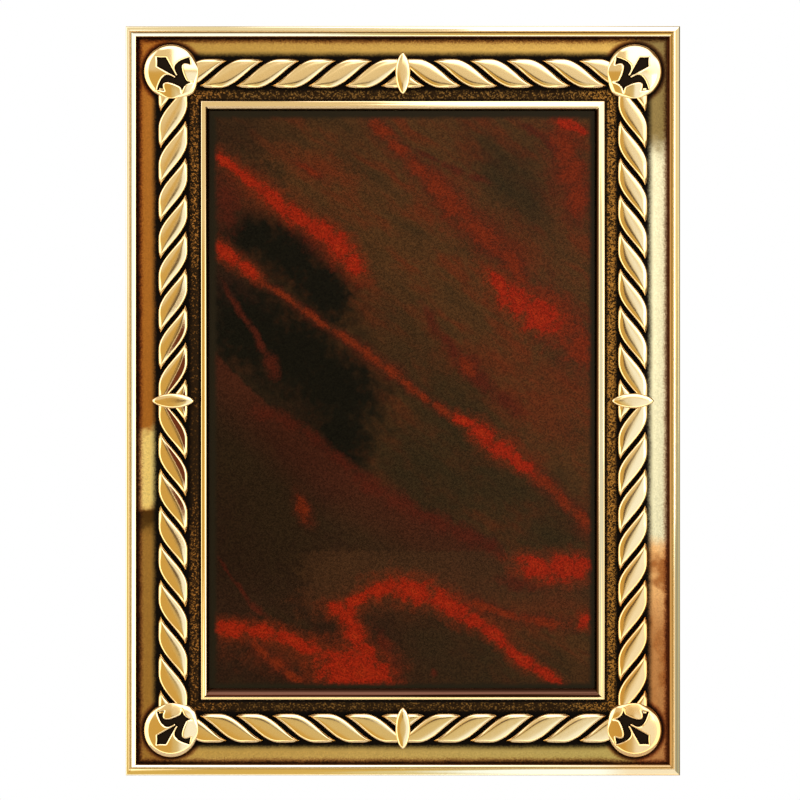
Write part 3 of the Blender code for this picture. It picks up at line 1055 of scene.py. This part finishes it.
def veinField(board, point, veins):
    # nearness to a set of veins laid as long dabs, 1 on a spine and 0 at an edge
    nearest = None
    for vein in veins:
        for start, end in zip(vein, vein[1:]):
            run = Vector((end[0] - start[0], 0, end[1] - start[1]))
            middle = Vector((end[0] + start[0], 0, end[1] + start[1])) / 2
            wide = (start[2] + end[2]) / 2
            axis = run.normalized() / (run.length / 2 + wide * 0.7)
            side = Vector((-run.z, 0, run.x)).normalized() / wide
            along = board.dot(point, axis) - middle.dot(axis)
            across = board.dot(point, side) - middle.dot(side)
            reach = along * along + across * across
            nearest = reach if nearest is None else nearest.least(reach)
    return 1 - nearest ** 0.5


def marbleMaterial():
    board = Board(bpy.data.materials.new("marbled lacquer"), "Principled BSDF")
    point, x, y, _ = board.place()
    drift = board.node("ShaderNodeTexNoise", {}, {"Vector": point, "Scale": 0.12, "Detail": 2.0}, 1)
    ripple = board.node("ShaderNodeTexNoise", {}, {"Vector": point, "Scale": 0.9, "Detail": 3.0}, 1)
    wave = board.moved(point, drift, marble["drift"])
    wave = board.moved(wave, ripple, marble["ripple"])
    cloud = board.noise(point, 0.06, 4.0)
    grain = board.cells(point, 3.4)
    blur = board.noise(wave, 0.45, 3.0, 0.5)
    dust = (grain - 0.5) * 0.18 + (blur - 0.5) * 1.6

    def coated(colour, *names):
        for name in names:
            near = veinField(board, wave, marble[name]) + dust
            for low, high, strength, paint in marble["coats"][name]:
                colour = board.mix(near.ramp(low, high) * strength, colour, marble[paint])
        return colour

    # warmer towards the top right, over a dark ground
    lift = (x + y * 0.45 + (cloud - 0.5) * 60).ramp(-45, 40)
    colour = board.mix(lift, marble["ground"], marble["tan"])
    colour = coated(colour, "brown", "wine")
    # faint streaks along the run of the veins
    streak = board.noise(board.dotted(wave, (0.05, 0, -0.035), (0.11, 0, 0.155)), 1.0, 3.0)
    colour = board.mix(streak.ramp(0.46, 0.66) * lift * 0.7, colour, marble["ember"])
    colour = board.mix((1 - streak).ramp(0.52, 0.72) * 0.5, colour, marble["olive"])
    colour = coated(colour, "shade", "haze", "dark")
    # a claret veil that hangs from a curved edge, and clay under a scalloped one
    run = x + 40 + (blur - 0.5) * 3
    under = 3.5 - run * 0.97 + run * run * 0.0056 - y
    veil = under.ramp(-0.4, 1.0) * (1 - under.ramp(2, 20) * 0.8) * (1 - x.ramp(14, 26))
    colour = board.mix(veil * 0.75, colour, marble["claret"])
    scallop = (x * 2.4 + blur * 3).maths("SINE") * 0.25
    under = -39.3 + scallop - y
    slip = under.between((-0.3, 0.5), (9, 20)) * (x + (blur - 0.5) * 8).ramp(-28, -22)
    colour = board.mix(slip * 0.8, colour, marble["clay"])
    colour = coated(colour, "faint", "middle", "bright")
    # darker low down on the left
    gloom = (-x).ramp(14, 32) * (-y).between((-6, 12), (42, 54))
    colour = board.scaled(colour, (0.65 + grain * 0.86) * (1 - gloom * 0.24))
    edge = (marble["halfWidth"] - abs(x)).least(marble["halfHeight"] - abs(y))
    edge = edge + (blur - 0.5) * 0.8
    colour = board.mix(1 - edge.ramp(-0.6, 0.9), colour, marble["border"])
    board.set(Base_Color=colour, Roughness=0.35, Specular_IOR_Level=0.02)
    return board.owner


def addPanel(name, energy, size, location, aim):
    lamp = bpy.data.lights.new(name, "AREA")
    lamp.shape = "RECTANGLE"
    lamp.size, lamp.size_y = size
    lamp.energy = energy
    thing = bpy.data.objects.new(name, lamp)
    bpy.context.scene.collection.objects.link(thing)
    thing.location = location
    direction = Vector(aim) - Vector(location)
    thing.rotation_euler = direction.to_track_quat("-Z", "Y").to_euler()


studio = {
    "frontLeft": (0.70, 0.50, 0.15, 1),
    "frontRight": (1.10, 1.30, 1.55, 1),
    "frontAbove": (0.86, 0.80, 0.60, 1),
    "frontBelow": (0.74, 0.67, 0.38, 1),
    "camera": (0.05, 0.016, 0.007, 1),
    "bright": (2.4, 2.4, 1.9, 1),
    "brightAbove": (2.6, 2.7, 2.9, 1),
    "farLeft": (0.85, 0.75, 0.55, 1),
    "farRight": (0.22, 0.13, 0.05, 1),
    "farAbove": (0.25, 0.17, 0.10, 1),
    "farBelow": (1.5, 1.4, 1.15, 1),
    "behind": (1.0, 1.0, 1.0, 1),
    "backdrop": (1.0, 1.0, 1.0, 1),
    # places seen from the plaque, as shares of a direction of length 1
    "cream": (0.01, 0.08),
    "creamTop": (0.03, 0.08),
    "spot": (0.027, 0.046),
    "spotAside": 0.012,
    "windowFoot": (0.105, 0.15),
    "windowLeft": (-0.05, -0.015),
    "goldenRight": (0.26, 0.40),
    "goldenTop": (0.24, 0.36),
    "goldenLeft": (0.36, 0.5),
    "goldenFoot": (0.38, 0.5),
    "sideways": (0.12, 0.36),
}


def makeWorld():
    world = bpy.data.worlds.new("studio")
    bpy.context.scene.world = world
    board = Board(world, "Background")
    direction = board.node("ShaderNodeTexCoord", {}, [], 0)
    right, back, up = board.split(direction)
    front = -back
    outward = (right * right + up * up) ** 0.5
    rightShare = (right / outward).ramp(0.5, 0.85)
    leftShare = (-right / outward).ramp(0.5, 0.85)
    belowShare = (-up / outward).ramp(-0.2, 0.2)
    far = board.mix(belowShare, studio["farAbove"], studio["farBelow"])
    far = board.mix(leftShare, far, studio["farLeft"])
    far = board.mix(rightShare, far, studio["farRight"])
    # a golden wall ahead, with a dark spot where the camera stands
    ahead = board.mix(up.ramp(-0.06, 0.06), studio["frontBelow"], studio["frontAbove"])
    leftPart = (-right).ramp(0.02, 0.06) * (1 - up.ramp(0.06, 0.1))
    ahead = board.mix(leftPart, ahead, studio["frontLeft"])
    cream = right.ramp(*studio["cream"]) * (1 - up.ramp(*studio["creamTop"]) * 0.75)
    ahead = board.mix(cream, ahead, studio["frontRight"])
    aside = right + studio["spotAside"]
    spot = (aside * aside + up * up) ** 0.5
    ahead = board.mix(spot.ramp(*studio["spot"]), studio["camera"], ahead)
    # bright light round the wall and through a window above it
    window = up.ramp(*studio["windowFoot"]) * right.ramp(*studio["windowLeft"])
    golden = (1 - right.ramp(*studio["goldenRight"])) * (1 - window)
    golden = golden * (1 - (up + right).ramp(*studio["goldenTop"]))
    golden = golden * (1 - (-right).ramp(*studio["goldenLeft"]))
    golden = golden * (1 - (-up).ramp(*studio["goldenFoot"]))
    bright = board.mix(up.ramp(0.05, 0.25), studio["bright"], studio["brightAbove"])
    light = board.mix(golden, bright, ahead)
    aboveShare = (up / outward).ramp(0.4, 0.8)
    shift = aboveShare * 0.35 + rightShare * 0.3 + leftShare * 0.1
    light = board.mix((front - shift).ramp(*studio["sideways"]), far, light)
    light = board.mix((-front).ramp(0.1, 0.3), light, studio["behind"])
    seen = board.node("ShaderNodeLightPath", {}, [], 0)
    light = board.mix(seen, light, studio["backdrop"])
    board.join(board.shader.inputs["Color"], light)


view = {
    "distance": 1.1,
    "sensor": 36,
    "picture": 800,  # side of the photograph in pixels
    "pixelsPerMm": 3.825,  # at the depth of the plaque's face
    "faceDepth": 0.004,
    "shift": (-2.9, 0.8),  # middle of the photograph from the plaque's, in pixels
}


def makeCamera():
    pixel = 0.001 / view["pixelsPerMm"]
    framed = view["picture"] * pixel
    camera = bpy.data.cameras.new("camera")
    camera.sensor_width = view["sensor"]
    camera.lens = view["sensor"] * (view["distance"] - view["faceDepth"]) / framed
    thing = bpy.data.objects.new("camera", camera)
    bpy.context.scene.collection.objects.link(thing)
    thing.location = (view["shift"][0] * pixel, -view["distance"], view["shift"][1] * pixel)
    thing.rotation_euler = (math.radians(90), 0, 0)
    bpy.context.scene.camera = thing


def makeFloor():
    grid = bmesh.new()
    bmesh.ops.create_grid(grid, x_segments=1, y_segments=1, size=0.9)
    bmesh.ops.translate(grid, vec=(0, 0, -0.7), verts=grid.verts)
    mesh = bpy.data.meshes.new("floor")
    grid.to_mesh(mesh)
    grid.free()
    floor = bpy.data.objects.new("floor", mesh)
    bpy.context.scene.collection.objects.link(floor)
    pale = Board(bpy.data.materials.new("pale floor"), "Principled BSDF")
    pale.set(Base_Color=(0.86, 0.86, 0.86, 1), Roughness=0.8)
    mesh.materials.append(pale.owner)
    return floor


print("building the frame")
relief = buildMoulding()
recess = [vert.co for vert in relief.verts if abs(vert.co.z - moulding["floor"]) < 1e-4]
acrossRecess = [point.x for point in recess]
upRecess = [point.y for point in recess]
opening = (min(acrossRecess), max(acrossRecess), min(upRecess), max(upRecess))
print("opening", [round(value, 2) for value in opening])
buildRope(relief)
buildBosses(relief)
buildDrops(relief)
castFrame = makePiece("cast_frame", relief, "root")
castFrame.data.set_sharp_from_angle(angle=math.radians(38))
castFrame.data.materials.append(brassMaterial())
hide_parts("frame")
print("frame triangles", sum(len(face.vertices) - 2 for face in castFrame.data.polygons))

print("building the plate")
engravingPlate = makePiece("marbled_plate", buildPlate(opening), "root")
engravingPlate.data.set_sharp_from_angle(angle=math.radians(20))
engravingPlate.data.materials.append(marbleMaterial())
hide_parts("engraving_plate")

print("setting up the studio")
floor = makeFloor()
makeWorld()
makeCamera()
addPanel("right panel", 0.12, (0.09, 0.17), (0.26, -0.6, 0.024), (0.06, 0, 0.0))
bpy.context.scene.view_settings.view_transform = "Standard"
